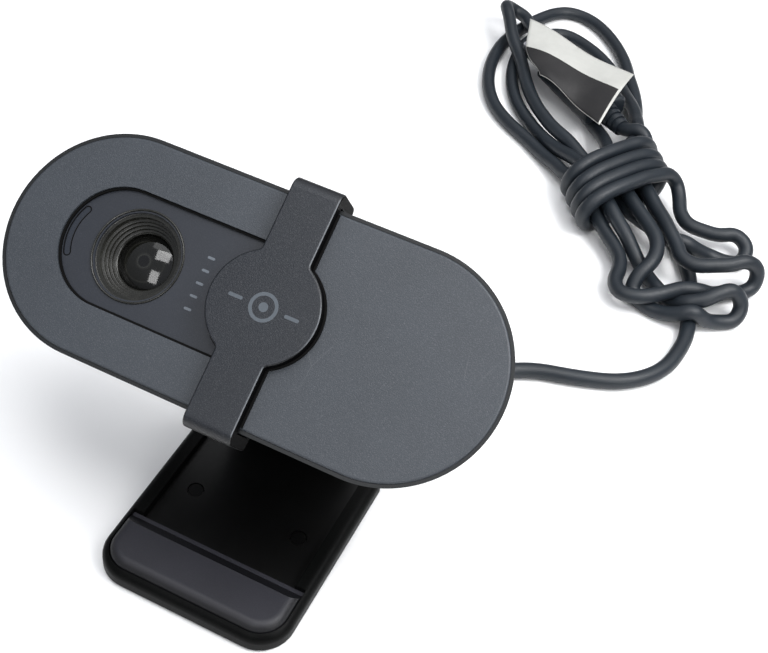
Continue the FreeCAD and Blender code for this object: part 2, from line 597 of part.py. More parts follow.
sh = sh.cut(box(x_s - 4.0, x_s + SHELL_L + 1, -SHELL_W / 2 + 0.32, SHELL_W / 2 - 0.32, -SHELL_T / 2 + 0.32, SHELL_T / 2 - 0.32))
for s in (1, -1):
    sh = sh.cut(box(x_s + 5.2, x_s + 7.6, s * 3.0 - 1.1, s * 3.0 + 1.1, -4, 4))
tongue = box(x_s - 3.98, x_s + SHELL_L - 0.6, -SHELL_W / 2 + 0.4, SHELL_W / 2 - 0.4, 0.1, 1.86)
contacts = [box(x_s - 1.0, x_s + SHELL_L - 1.6, yc - 0.5, yc + 0.5, -0.06, 0.08) for yc in (-3.5, -1.0, 1.0, 3.5)]
relief2 = relief2.common(box(0, RELIEF_L - 0.02, -9, 9, -9, 9))
env = on_plug(box(-0.5, x_s + SHELL_L + 0.6, -GRIP_W / 2 - 0.4, GRIP_W / 2 + 0.4, -GRIP_T / 2 - 0.3, GRIP_T / 2 + 20))
hank = hank.cut(env)
sol = sorted(hank.Solids, key=lambda q: -q.Volume)
keep("cord_hank", sol[0])
keep("plug_strain_relief", on_plug(relief2))
keep("plug_grip", on_plug(grip))
keep("plug_shell", on_plug(sh))
keep("plug_tongue", on_plug(tongue))
keep("plug_contacts", on_plug(Part.makeCompound(contacts)))
print("plug tip", PLUG_END + PLUG_DIR * (x_s + SHELL_L))

# blank label flag: thin sheet that lies over the plug
LABEL_Z = 12.8
lab = Part.makePolygon([V(x, y, LABEL_Z) for x, y in (
    (-7.7, 202.8), (12.6, 196.6), (32.9, 189.7), (32.6, 175.0), (31.6, 160.5), (22.5, 163.0), (14.6, 167.6), (6.3, 176.1), (-7.7, 202.8))])
keep("cord_label", Part.Face(lab).extrude(V(0, 0, 0.4)))

# ---------------------------------------------------------------- centre the object over its footprint and write it
CORD_NODES = ["cord_lead", "cord_hank", "plug_strain_relief", "plug_grip", "plug_shell", "plug_tongue",
              "plug_contacts", "cord_label", "cord_strain_relief"]
ymin = min(s.optimalBoundingBox().YMin for n, s in PARTS.items() if n not in CORD_NODES)
ymax = max(s.optimalBoundingBox().YMax for n, s in PARTS.items() if n not in CORD_NODES)
CENTRE_Y = round(-(ymin + ymax) / 2.0, 3)
print("centring shift %.3f" % CENTRE_Y)
for n, s in PARTS.items():
    s.translate(V(0, CENTRE_Y, 0))
    ok = s.isValid()
    bb = s.BoundBox
    print("%-22s valid %s solids %d vol %.1f box %.1f %.1f %.1f .. %.1f %.1f %.1f" % (
        n, ok, len(s.Solids), s.Volume, bb.XMin, bb.YMin, bb.ZMin, bb.XMax, bb.YMax, bb.ZMax))
    s.exportStep("parts/%s.step" % n)
print("tilt axis %.3f %.3f, fold axis %.3f %.3f" % (A.y + CENTRE_Y, A.z, B.y + CENTRE_Y, B.z))
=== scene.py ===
import bpy, bmesh, math
from mathutils import Vector, Matrix, noise


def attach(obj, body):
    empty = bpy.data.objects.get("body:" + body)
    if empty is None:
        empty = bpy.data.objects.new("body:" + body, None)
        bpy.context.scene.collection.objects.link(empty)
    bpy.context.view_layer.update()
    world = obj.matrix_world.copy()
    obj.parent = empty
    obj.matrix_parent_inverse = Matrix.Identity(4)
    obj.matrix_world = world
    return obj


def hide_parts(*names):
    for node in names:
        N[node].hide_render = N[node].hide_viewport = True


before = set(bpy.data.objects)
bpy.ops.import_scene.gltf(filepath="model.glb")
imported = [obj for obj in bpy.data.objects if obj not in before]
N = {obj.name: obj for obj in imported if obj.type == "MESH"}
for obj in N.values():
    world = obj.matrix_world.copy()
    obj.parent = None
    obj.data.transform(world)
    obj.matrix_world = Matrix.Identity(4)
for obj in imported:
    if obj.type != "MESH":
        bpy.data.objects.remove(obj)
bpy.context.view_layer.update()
MM = 0.001

# ------------------------------------------------------------------ camera
cam_data = bpy.data.cameras.new("camera")
cam = bpy.data.objects.new("camera", cam_data)
bpy.context.scene.collection.objects.link(cam)
right = Vector((0.89713, 0.43146, 0.09484))
down = Vector((0.37297, -0.62474, -0.68600))
fwd = Vector((-0.23673, 0.65081, -0.72139))
m = Matrix.Identity(4)
for i in range(3):
    m[i][0], m[i][1], m[i][2] = right[i], -down[i], -fwd[i]
m.translation = Vector((0.0854, -0.14757, 0.2377))
cam.matrix_world = m
cam_data.sensor_fit = "HORIZONTAL"
cam_data.sensor_width = 36.0
cam_data.lens = 58.36
cam_data.clip_start = 0.01
cam_data.clip_end = 50.0
bpy.context.scene.camera = cam
bpy.context.scene.view_settings.view_transform = "Standard"


# ------------------------------------------------------------------ materials
def new_mat(name):
    mt = bpy.data.materials.new(name)
    mt.use_nodes = True
    nt = mt.node_tree
    bsdf = nt.nodes["Principled BSDF"]
    return mt, nt, bsdf


def coords(nt):
    t = nt.nodes.new("ShaderNodeTexCoord")
    return t.outputs["Object"]


def noise_tex(nt, vec, scale, detail=2.0, rough=0.5, dist=0.0):
    n = nt.nodes.new("ShaderNodeTexNoise")
    n.inputs["Scale"].default_value = scale
    n.inputs["Detail"].default_value = detail
    n.inputs["Roughness"].default_value = rough
    n.inputs["Distortion"].default_value = dist
    nt.links.new(vec, n.inputs["Vector"])
    return n.outputs["Fac"]


def ramp(nt, fac, stops):
    r = nt.nodes.new("ShaderNodeValToRGB")
    el = r.color_ramp.elements
    while len(el) < len(stops):
        el.new(0.5)
    for e, (p, c) in zip(el, stops):
        e.position = p
        e.color = (c[0], c[1], c[2], 1.0)
    nt.links.new(fac, r.inputs["Fac"])
    return r.outputs["Color"]


def grey(nt, fac, a, b, p0=0.3, p1=0.7):
    return ramp(nt, fac, [(p0, (a, a, a)), (p1, (b, b, b))])


def bump(nt, bsdf, height, strength, dist):
    b = nt.nodes.new("ShaderNodeBump")
    b.inputs["Strength"].default_value = strength
    b.inputs["Distance"].default_value = dist
    nt.links.new(height, b.inputs["Height"])
    nt.links.new(b.outputs["Normal"], bsdf.inputs["Normal"])
    return b


def mix_col(nt, fac, a, b, mode="MIX"):
    mx = nt.nodes.new("ShaderNodeMix")
    mx.data_type = "RGBA"
    mx.blend_type = mode
    if isinstance(fac, float):
        mx.inputs[0].default_value = fac
    else:
        nt.links.new(fac, mx.inputs[0])
    nt.links.new(a, mx.inputs[6])
    nt.links.new(b, mx.inputs[7])
    return mx.outputs[2]


def plastic(name, col, var=0.18, speck=0.0, speck_scale=5200.0, rough=(0.45, 0.6), grain=0.25, grain_scale=2600.0,
            spec=0.5, coat=0.0, blotch=60.0, wear=0.0, scratch=0.0):
    """moulded plastic: slow colour drift, fine speckle, eroded grain in bump and roughness"""
    mt, nt, b = new_mat(name)
    v = coords(nt)
    slow = noise_tex(nt, v, blotch, 3.0, 0.6)
    lo = [c * (1 - var) for c in col]
    hi = [c * (1 + var) for c in col]
    c0 = ramp(nt, slow, [(0.3, lo), (0.7, hi)])
    if speck > 0:
        f = noise_tex(nt, v, speck_scale, 1.0, 0.5)
        c1 = ramp(nt, f, [(0.50, (0, 0, 0)), (0.72, (speck, speck, speck * 1.04))])
        c0 = mix_col(nt, 1.0, c0, c1, "ADD")
    if wear > 0:
        g = nt.nodes.new("ShaderNodeNewGeometry")
        e = ramp(nt, g.outputs["Pointiness"], [(0.52, (0, 0, 0)), (0.62, (wear, wear, wear))])
        c0 = mix_col(nt, 1.0, c0, e, "ADD")
    if scratch > 0:
        # hair-thin scuffs, only here and there
        wob = nt.nodes.new("ShaderNodeMapping")
        wob.inputs["Rotation"].default_value = (0.3, 0.2, 0.7)
        wob.inputs["Scale"].default_value = (1.0, 0.35, 1.0)
        nt.links.new(v, wob.inputs["Vector"])
        vor = nt.nodes.new("ShaderNodeTexVoronoi")
        vor.feature = "DISTANCE_TO_EDGE"
        vor.inputs["Scale"].default_value = 75.0
        nt.links.new(wob.outputs["Vector"], vor.inputs["Vector"])
        line = ramp(nt, vor.outputs["Distance"], [(0.0, (scratch, scratch, scratch)), (0.010, (0, 0, 0))])
        patch = ramp(nt, noise_tex(nt, v, 38.0, 2.0, 0.5), [(0.56, (0, 0, 0)), (0.66, (1, 1, 1))])
        c0 = mix_col(nt, 1.0, c0, mix_col(nt, 1.0, line, patch, "MULTIPLY"), "ADD")
    nt.links.new(c0, b.inputs["Base Color"])
    g1 = noise_tex(nt, v, grain_scale, 2.0, 0.6)
    nt.links.new(grey(nt, g1, rough[0], rough[1]), b.inputs["Roughness"])
    b.inputs["Specular IOR Level"].default_value = spec
    if coat > 0:
        b.inputs["Coat Weight"].default_value = coat
        b.inputs["Coat Roughness"].default_value = 0.12
    bump(nt, b, g1, grain, 0.00006)
    return mt


def by_facing(mt, direction, stops, mode):
    """painted shade and highlight: a colour that follows which way the surface points, in the piece's own axes"""
    nt = mt.node_tree
    b = next(n for n in nt.nodes if n.type == "BSDF_PRINCIPLED")
    old = b.inputs["Base Color"].links[0].from_socket
    tc = nt.nodes.new("ShaderNodeTexCoord")
    d = nt.nodes.new("ShaderNodeVectorMath")
    d.operation = "DOT_PRODUCT"
    nt.links.new(tc.outputs["Normal"], d.inputs[0])
    d.inputs[1].default_value = direction
    c = ramp(nt, d.outputs["Value"], stops)
    nt.links.new(mix_col(nt, 1.0, old, c, mode), b.inputs["Base Color"])


def metal(name, col, rough=(0.22, 0.38), brushed=True):
    mt, nt, b = new_mat(name)
    v = coords(nt)
    mp = nt.nodes.new("ShaderNodeMapping")
    mp.inputs["Scale"].default_value = (300.0, 4000.0, 4000.0) if brushed else (900.0, 900.0, 900.0)
    nt.links.new(v, mp.inputs["Vector"])
    f = noise_tex(nt, mp.outputs["Vector"], 1.0, 2.0, 0.6)
    c = ramp(nt, f, [(0.3, [x * 0.82 for x in col]), (0.7, [x * 1.06 for x in col])])
    nt.links.new(c, b.inputs["Base Color"])
    b.inputs["Metallic"].default_value = 1.0
    nt.links.new(grey(nt, f, rough[0], rough[1]), b.inputs["Roughness"])
    bump(nt, b, f, 0.12, 0.00003)
    return mt


def set_mat(node, mt):
    o = N[node]
    o.data.materials.clear() if len(o.material_slots) == 0 else None
    if len(o.material_slots) == 0:
        o.data.materials.append(mt)
    for s in o.material_slots:
        s.link = "OBJECT"
        s.material = mt


M_PLATE = plastic("plate_graphite", (0.0285, 0.0340, 0.042), var=0.07, speck=0.026, speck_scale=4600.0, rough=(0.42, 0.58),
                  grain=0.9, grain_scale=3800.0, spec=0.5, scratch=0.030)
M_SHELL = plastic("shell_dark", (0.008, 0.009, 0.010), var=0.15, speck=0.004, rough=(0.42, 0.58), grain=0.35, spec=0.35)
M_PANEL = plastic("panel_smoke", (0.0120, 0.0148, 0.0215), var=0.08, speck=0.008, speck_scale=5200.0, rough=(0.40, 0.52),
                  grain=0.25, grain_scale=4200.0)
M_SHUT = plastic("shutter_charcoal", (0.0075, 0.0097, 0.0140), var=0.08, speck=0.020, speck_scale=4600.0, rough=(0.34, 0.5),
                 grain=0.8, grain_scale=3800.0, spec=0.42)
M_SURR = plastic("surround_black", (0.012, 0.012, 0.010), var=0.30, rough=(0.22, 0.38), grain=0.10, spec=0.45, blotch=500.0)
# near-black for the shutter's side walls and the faces turned back towards the panel: painted shade
M_FLANK_SHADE = plastic("shutter_flank_shade", (0.0016, 0.0016, 0.0018), var=0.2, rough=(0.45, 0.55), grain=0.3, spec=0.03)
M_CLIP = plastic("clip_black", (0.0018, 0.0020, 0.0019), var=0.2, speck=0.002, rough=(0.36, 0.48), grain=0.4, spec=0.06)
M_PAD = plastic("pad_black", (0.0020, 0.0020, 0.0020), var=0.25, rough=(0.3, 0.42), grain=0.15, blotch=120.0, spec=0.25)
M_LIP = plastic("lip_rubber", (0.0165, 0.0165, 0.0220), var=0.10, speck=0.005, rough=(0.42, 0.54), grain=0.35, grain_scale=2600.0,
                spec=0.35)
M_CORD = plastic("cord_jacket", (0.010, 0.014, 0.019), var=0.14, rough=(0.40, 0.52), grain=0.25, grain_scale=1800.0,
                 blotch=90.0, spec=0.4)
M_INNER = plastic("inner_black", (0.018, 0.017, 0.015), var=0.2, rough=(0.35, 0.5), grain=0.15, spec=0.3)
M_HEX = plastic("iris_edge", (0.16, 0.15, 0.13), var=0.2, rough=(0.25, 0.35), grain=0.05)
# black for the seam round the indicator window, the recess lining and the painted shadow skirt round the shutter
M_LINE = plastic("seam_and_shadow_black", (0.002, 0.002, 0.002), var=0.2, rough=(0.6, 0.7), grain=0.1, spec=0.1)
M_TICK = plastic("tick_grey", (0.105, 0.120, 0.140), var=0.08, rough=(0.45, 0.6), grain=0.2)
M_MARK = plastic("mark_grey", (0.062, 0.074, 0.088), var=0.08, rough=(0.45, 0.6), grain=0.2)
M_PIPE = plastic("light_pipe", (0.015, 0.0185, 0.026), var=0.08, rough=(0.25, 0.35), grain=0.05, spec=0.5)
M_STEEL = metal("steel", (0.62, 0.62, 0.64))
M_BLACKST = metal("black_steel", (0.018, 0.018, 0.018), rough=(0.4, 0.5))
M_GOLD = metal("contact_gold", (0.85, 0.62, 0.28), brushed=False)
M_SOCK = plastic("nylon_white", (0.7, 0.68, 0.6), var=0.06, rough=(0.4, 0.5), grain=0.15)
M_CHIP = plastic("chip_epoxy", (0.02, 0.02, 0.021), var=0.2, rough=(0.5, 0.65), grain=0.4)
M_LED = plastic("led_lens", (0.8, 0.8, 0.66), var=0.05, rough=(0.15, 0.25), grain=0.05)
M_SIL = plastic("sensor_silicon", (0.05, 0.06, 0.10), var=0.3, rough=(0.1, 0.2), grain=0.03, blotch=900.0)
M_FILT = plastic("filter_green", (0.18, 0.42, 0.38), var=0.1, rough=(0.06, 0.12), grain=0.02)


def board_mat():
    mt, nt, b = new_mat("board_green")
    v = coords(nt)
    w = nt.nodes.new("ShaderNodeTexVoronoi")
    w.inputs["Scale"].default_value = 500.0
    nt.links.new(v, w.inputs["Vector"])
    c = ramp(nt, w.outputs["Distance"], [(0.1, (0.006, 0.10, 0.04)), (0.5, (0.012, 0.05, 0.022))])
    nt.links.new(c, b.inputs["Base Color"])
    nt.links.new(grey(nt, w.outputs["Distance"], 0.3, 0.45), b.inputs["Roughness"])
    bump(nt, b, w.outputs["Distance"], 0.1, 0.00005)
    return mt


M_BOARD = board_mat()


def glass_mat(name, lo, hi, alpha):
    # dark coated glass: a clear gloss over a see-through dark body
    mt, nt, b = new_mat(name)
    v = coords(nt)
    f = noise_tex(nt, v, 300.0, 2.0, 0.5)
    nt.links.new(ramp(nt, f, [(0.3, lo), (0.7, hi)]), b.inputs["Base Color"])
    nt.links.new(grey(nt, f, 0.02, 0.04), b.inputs["Roughness"])
    b.inputs["Alpha"].default_value = alpha
    b.inputs["Specular IOR Level"].default_value = 0.75
    return mt


M_GLASS = glass_mat("front_glass_dark", (0.004, 0.004, 0.0034), (0.007, 0.007, 0.006), 0.45)
M_ELEM = glass_mat("lens_element_glass", (0.006, 0.004, 0.009), (0.010, 0.007, 0.012), 0.7)

for n in ("front_plate",):
    set_mat(n, M_PLATE)
for n in ("rear_shell",):
    set_mat(n, M_SHELL)
set_mat("lens_panel", M_PANEL)
set_mat("privacy_shutter", M_SHUT)
set_mat("lens_surround", M_SURR)
set_mat("front_glass", M_GLASS)
set_mat("lens_elements", M_ELEM)
set_mat("indicator_light_pipe", M_PIPE)
for n in ("lens_barrel", "lens_holder"):
    set_mat(n, M_INNER)
set_mat("infrared_filter", M_FILT)
set_mat("image_sensor", M_SIL)
set_mat("main_circuit_board", M_BOARD)
set_mat("board_chips", M_CHIP)
set_mat("indicator_led", M_LED)
set_mat("cable_socket", M_SOCK)
for n in ("microphone", "board_screws", "shell_screws", "tilt_pin", "tilt_washers", "fold_washers", "fold_pin",
          "plug_shell"):
    set_mat(n, M_STEEL)
for n in ("clip_arm", "foot_tray"):
    set_mat(n, M_CLIP)
for n in ("arm_pad", "foot_pad"):
    set_mat(n, M_PAD)
set_mat("foot_lip", M_LIP)
# painted shade: the lip's rounded edges and front, which turn away from straight up, are darkened
by_facing(M_LIP, (0.0, 0.0, 1.0), [(0.0, (0.12, 0.12, 0.12)), (0.75, (0.30, 0.30, 0.30)), (0.98, (1, 1, 1))], "MULTIPLY")
set_mat("foot_screws", M_BLACKST)
for n in ("cord_strain_relief", "plug_strain_relief", "plug_grip"):
    set_mat(n, M_CORD)
set_mat("plug_tongue", M_SOCK)
set_mat("plug_contacts", M_GOLD)


# ------------------------------------------------------------------ cord: route points in millimetres
ROUTE = [
    (38.00, 21.50, 36.00), (38.00, 28.90, 25.30), (36.60, 41.60, 13.20), (35.00, 52.60, 5.00), (38.50, 64.20, 2.10), (47.50, 71.00, 2.10),
    (59.20, 74.20, 2.10), (70.60, 79.00, 2.10), (78.40, 88.20, 2.10), (80.25, 100.27, 2.10), (79.65, 106.45, 2.10), (78.82, 110.35, 2.10),
    (78.27, 115.39, 2.10), (76.10, 119.67, 2.10), (75.32, 124.50, 2.10), (73.23, 128.91, 2.10), (70.76, 133.02, 2.10), (68.16, 137.04, 2.11),
    (65.18, 140.85, 2.10), (61.52, 143.79, 3.44), (57.78, 146.62, 4.47), (54.29, 149.83, 5.77), (51.28, 153.44, 6.66), (48.61, 157.63, 6.46),
    (46.30, 161.91, 6.61), (42.99, 165.91, 6.11), (42.57, 169.77, 2.32), (42.41, 174.97, 2.60), (41.29, 179.70, 3.11), (39.99, 184.40, 2.11),
    (38.65, 189.06, 2.10), (37.37, 193.75, 2.10), (35.64, 198.28, 2.10), (33.66, 202.70, 2.10), (31.37, 206.96, 2.10), (28.99, 211.16, 2.10),
    (26.97, 215.54, 2.10), (24.50, 219.68, 2.10), (21.75, 223.63, 2.10), (18.69, 227.35, 2.10), (15.31, 230.77, 2.10), (11.62, 233.86, 2.10),
    (7.44, 236.29, 2.10), (2.77, 237.50, 2.10), (-2.15, 236.85, 2.10), (-5.73, 233.50, 2.10), (-8.06, 229.28, 2.10), (-10.01, 224.89, 2.10),
    (-11.57, 220.32, 2.10), (-12.88, 215.72, 2.10), (-13.82, 210.99, 2.10), (-14.48, 206.23, 2.10), (-14.52, 201.41, 2.10), (-14.14, 196.62, 2.10),
    (-13.34, 191.87, 2.10), (-12.14, 187.21, 2.10), (-10.55, 182.67, 2.10), (-8.50, 178.32, 2.10), (-5.94, 174.25, 2.10), (-2.90, 170.50, 2.10),
    (0.70, 167.30, 2.10), (4.62, 164.51, 2.10), (8.78, 162.10, 2.12), (12.94, 159.67, 2.10), (16.84, 156.84, 2.23), (20.69, 153.98, 2.85),
    (24.60, 151.30, 3.83), (28.19, 147.94, 4.31), (32.15, 145.80, 6.56), (35.75, 142.57, 6.72), (38.61, 138.56, 6.57), (41.80, 134.91, 6.83),
    (44.65, 131.07, 6.16), (48.13, 127.79, 5.46), (51.69, 124.56, 5.15), (54.84, 120.85, 4.83), (56.27, 116.21, 4.67), (56.17, 111.40, 4.77),
    (58.62, 106.87, 5.14), (63.74, 106.92, 5.84), (67.74, 109.57, 6.22), (71.14, 112.95, 6.51), (74.26, 116.58, 6.48), (78.76, 118.67, 6.05),
    (81.69, 121.74, 3.45), (85.17, 125.16, 3.10), (88.74, 127.89, 2.10), (91.82, 131.60, 2.98), (90.97, 133.85, 7.99), (87.16, 131.95, 10.80),
    (83.47, 128.87, 9.65), (79.53, 126.61, 9.45), (75.06, 124.37, 8.76), (70.37, 125.54, 8.61), (67.74, 129.88, 9.08), (64.46, 133.18, 10.03),
    (61.46, 136.97, 10.27), (58.24, 140.54, 10.20), (55.22, 144.30, 10.50), (52.24, 148.10, 10.33), (49.44, 152.00, 10.32), (46.92, 156.15, 10.44),
    (44.44, 160.24, 10.15), (42.68, 165.10, 10.80), (41.95, 169.17, 7.88), (42.90, 173.64, 6.25), (41.25, 178.48, 7.80), (39.69, 182.98, 6.60),
    (37.67, 187.40, 6.27), (35.21, 191.52, 5.61), (32.80, 195.58, 4.57), (30.50, 199.70, 3.56), (28.16, 203.79, 2.72), (25.85, 207.97, 2.10),
    (22.61, 211.52, 2.10), (19.09, 214.78, 2.10), (15.30, 217.74, 2.10), (11.09, 220.09, 2.10), (6.69, 221.99, 2.10), (1.81, 222.76, 2.10),
    (-2.45, 220.17, 2.10), (-5.27, 216.24, 2.10), (-7.51, 211.98, 2.10), (-7.76, 207.07, 2.10), (-7.71, 202.30, 2.10), (-6.92, 197.51, 2.10),
    (-5.85, 192.84, 2.10), (-4.34, 188.26, 2.10), (-2.43, 183.84, 2.10), (-0.06, 179.65, 2.11), (2.72, 175.72, 2.10), (5.96, 172.16, 2.13),
    (9.49, 168.88, 2.10), (13.02, 165.65, 2.38), (16.53, 162.42, 3.13), (20.13, 159.38, 4.10), (23.56, 156.28, 5.49), (27.28, 153.68, 7.12),
    (31.06, 150.99, 8.32), (34.62, 147.96, 9.69), (37.72, 144.34, 10.11), (40.70, 140.54, 10.23), (43.71, 136.83, 10.27), (46.75, 133.11, 10.32),
    (50.24, 129.90, 9.31), (53.99, 127.29, 7.78), (57.38, 124.58, 5.62), (60.84, 122.09, 3.54), (64.83, 119.51, 2.10), (68.35, 116.43, 2.70),
    (72.74, 113.50, 2.10), (75.94, 112.17, 5.51), (80.49, 113.77, 7.11), (83.33, 116.79, 8.74), (86.97, 119.99, 9.74), (90.65, 120.12, 5.45),
    (90.34, 116.13, 2.10), (86.12, 113.39, 2.10), (82.91, 110.94, 3.15), (79.55, 108.83, 7.15), (74.95, 107.71, 4.21), (70.68, 108.23, 2.24),
    (65.94, 109.10, 2.10), (61.43, 111.75, 2.39), (61.45, 115.29, 6.05), (63.60, 118.97, 8.16), (63.90, 123.91, 9.20), (62.11, 128.21, 10.17),
    (58.72, 131.76, 10.38), (55.29, 135.06, 10.55), (51.84, 138.44, 10.65), (48.64, 142.02, 10.68), (45.71, 145.82, 10.70), (42.90, 149.72, 10.64),
    (40.19, 153.69, 10.58), (37.76, 157.83, 10.04), (36.07, 162.15, 8.76), (34.44, 166.36, 7.09), (32.68, 170.43, 5.22), (30.48, 174.41, 3.68),
    (27.77, 178.21, 2.43), (24.52, 181.72, 2.10), (20.92, 184.92, 2.13), (17.31, 188.09, 2.10), (13.85, 191.43, 2.11), (10.47, 194.85, 2.10),
    (7.22, 198.37, 2.10), (4.00, 201.97, 2.37), (1.08, 205.64, 3.27), (-2.14, 209.37, 3.30), (-4.72, 212.63, 6.18), (-8.95, 214.75, 5.96),
    (-11.42, 218.88, 6.04), (-16.30, 219.95, 6.77), (-19.19, 216.31, 10.01), (-16.72, 212.08, 10.62), (-14.21, 208.41, 9.39), (-11.99, 204.30, 8.65),
    (-9.35, 200.54, 7.53), (-6.22, 197.04, 6.55), (-3.42, 193.18, 5.92), (-1.07, 189.00, 5.78), (1.22, 184.78, 5.81), (3.79, 180.71, 5.80),
    (6.56, 176.79, 5.80), (9.63, 173.08, 5.81), (13.05, 169.71, 5.87), (16.62, 166.48, 5.91), (20.38, 163.53, 6.39), (24.48, 161.00, 6.63),
    (28.36, 158.18, 6.16), (32.21, 155.25, 5.74), (36.12, 152.47, 6.25), (39.65, 149.27, 6.34), (43.25, 146.08, 6.28), (46.82, 142.88, 6.33),
    (50.68, 139.99, 6.10), (54.99, 137.78, 6.14), (59.49, 136.02, 6.33), (64.10, 134.64, 5.46), (69.14, 135.10, 6.89), (73.00, 136.39, 4.36),
    (76.98, 138.28, 2.42), (81.68, 138.32, 2.10), (86.08, 140.40, 2.10), (86.16, 145.45, 4.36), (81.52, 147.48, 6.00), (77.27, 145.01, 5.11),
    (72.70, 144.69, 4.97), (67.78, 144.83, 4.96), (64.29, 148.32, 5.50), (62.77, 152.75, 6.40), (60.21, 156.38, 9.01), (57.04, 154.64, 12.73),
    (54.80, 150.41, 13.88), (52.15, 146.62, 14.74), (49.71, 142.44, 14.85), (47.13, 138.38, 14.87), (44.51, 134.42, 14.43), (41.84, 130.52, 13.01),
    (39.93, 128.06, 9.11), (40.43, 129.97, 4.00), (42.71, 133.78, 2.12), (45.07, 138.12, 2.18), (47.23, 142.41, 2.10), (49.65, 146.57, 2.21),
    (51.70, 151.06, 2.10), (54.05, 155.00, 3.00), (55.26, 158.29, 6.98), (54.15, 157.72, 11.79), (51.67, 153.79, 14.05), (49.11, 149.96, 14.73),
    (46.61, 145.79, 14.91), (44.04, 141.72, 14.80), (41.48, 137.76, 14.40), (38.86, 133.84, 12.74), (37.38, 131.57, 8.69), (37.65, 133.94, 3.69),
    (40.04, 137.79, 2.16), (42.18, 142.24, 2.15), (44.53, 146.43, 2.10), (46.79, 150.70, 2.14), (48.90, 155.10, 2.10), (51.46, 159.05, 2.93),
    (52.66, 162.07, 7.27), (51.49, 161.10, 11.94), (48.76, 157.40, 14.28), (46.20, 153.49, 14.71), (43.66, 149.34, 14.94), (41.08, 145.26, 14.74),
    (38.56, 141.25, 14.36), (35.91, 137.37, 12.37), (34.39, 135.94, 7.96), (34.90, 138.25, 2.98), (37.46, 142.49, 2.19), (39.55, 146.87, 2.12),
    (41.85, 151.16, 2.10), (44.01, 155.46, 2.15), (46.23, 159.88, 2.10), (49.40, 163.31, 3.31), (49.30, 166.68, 7.74), (48.00, 165.47, 12.18),
    (45.49, 161.66, 14.64), (42.82, 157.75, 14.64), (40.30, 153.59, 14.92), (37.70, 149.53, 14.72), (35.06, 145.56, 14.16), (32.61, 141.68, 12.12),
    (31.02, 140.32, 7.47), (32.10, 142.47, 2.58), (34.59, 147.06, 2.32), (36.71, 151.37, 2.10), (39.21, 155.65, 2.10), (41.24, 160.10, 2.21),
    (44.36, 164.05, 2.10), (46.99, 167.89, 3.19), (47.01, 170.66, 7.80), (43.62, 172.35, 11.51), (38.69, 172.48, 9.06), (37.20, 174.10, 8.30),
]
CORD_D = 0.0042
cu = bpy.data.curves.new("cord", "CURVE")
cu.dimensions = "3D"
sp = cu.splines.new("NURBS")
sp.points.add(len(ROUTE) - 1)
for p, (x, y, z) in zip(sp.points, ROUTE):
    p.co = (x * MM, y * MM, z * MM, 1.0)
sp.order_u = 3
sp.use_endpoint_u = True
sp.resolution_u = 6
cu.bevel_depth = CORD_D / 2
cu.bevel_resolution = 6
cu.use_fill_caps = True
cord = bpy.data.objects.new("cord", cu)
bpy.context.scene.collection.objects.link(cord)
cu.materials.append(M_CORD)
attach(cord, "camera_body")
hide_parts("cord_lead", "cord_hank")


def link_mesh(name, verts, faces, mats, body, smooth=True):
    me = bpy.data.meshes.new(name)
    me.from_pydata([tuple(v) for v in verts], [], faces)
    me.validate()
    for mt in mats:
        me.materials.append(mt)
    for p in me.polygons:
        p.use_smooth = smooth
    ob = bpy.data.objects.new(name, me)
    bpy.context.scene.collection.objects.link(ob)
    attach(ob, body)
    return ob


# ------------------------------------------------------------------ label flag, curled over the plug
def label_mat(name, col, var, rough):
    return plastic(name, col, var=var, rough=rough, grain=0.12, grain_scale=900.0, blotch=140.0)


M_LAB = label_mat("label_white", (0.50, 0.50, 0.47), 0.06, (0.4, 0.55))
M_LABD = label_mat("label_dark", (0.012, 0.011, 0.011), 0.3, (0.3, 0.45))
TL, TR, BR, BL = Vector((-7.7, 208.4, 12.6)), Vector((32.9, 195.3, 13.4)), Vector((31.6, 166.1, 12.6)), Vector((6.3, 181.7, 12.2))
nu, nv = 40, 28


def lab_point(a, b):
    # a along the flag, b from its white edge to its dark edge
    p = (TL.lerp(TR, a)).lerp(BL.lerp(BR, a), b)
    curl = 1.6 * math.sin(math.pi * b) * (0.5 + 0.5 * a) + 0.8 * math.sin(2.2 * math.pi * a + 0.4)
    bow = -2.2 * math.sin(math.pi * a) * b ** 2
    side = math.sin(math.pi * b) ** 1.5 * (1 - a) ** 2
    return Vector((p.x + bow * 0.3 - 1.8 * side, p.y - bow * 0.8 - 2.2 * side, p.z + curl - 2.4 * side - 0.8 * b ** 4))


vs, fs, mi = [], [], []
TH = 0.28
for k in range(2):
    for i in range(nu + 1):
        for j in range(nv + 1):
            p = lab_point(i / nu, j / nv)
            vs.append((p.x * MM, p.y * MM, (p.z - k * TH) * MM))
off = (nu + 1) * (nv + 1)


def vid(k, i, j):
    return k * off + i * (nv + 1) + j


for i in range(nu):
    for j in range(nv):
        fs.append((vid(0, i, j), vid(0, i + 1, j), vid(0, i + 1, j + 1), vid(0, i, j + 1)))
        dark = j / nv > 0.40 and i / nu < 0.955
        mi.append(1 if dark else 0)
        fs.append((vid(1, i, j), vid(1, i, j + 1), vid(1, i + 1, j + 1), vid(1, i + 1, j)))
        mi.append(0)
for i in range(nu):
    for j in (0, nv):
        a, b = (vid(0, i, j), vid(0, i + 1, j)), (vid(1, i + 1, j), vid(1, i, j))
        fs.append(a + b if j else tuple(reversed(a + b)))
        mi.append(0)
for j in range(nv):
    for i in (0, nu):
        a, b = (vid(0, i, j), vid(0, i, j + 1)), (vid(1, i, j + 1), vid(1, i, j))
        fs.append(tuple(reversed(a + b)) if i else a + b)
        mi.append(0)
label = link_mesh("cord_label_flag", vs, fs, [M_LAB, M_LABD], "camera_body")
for p, k in zip(label.data.polygons, mi):
    p.material_index = k
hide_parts("cord_label")


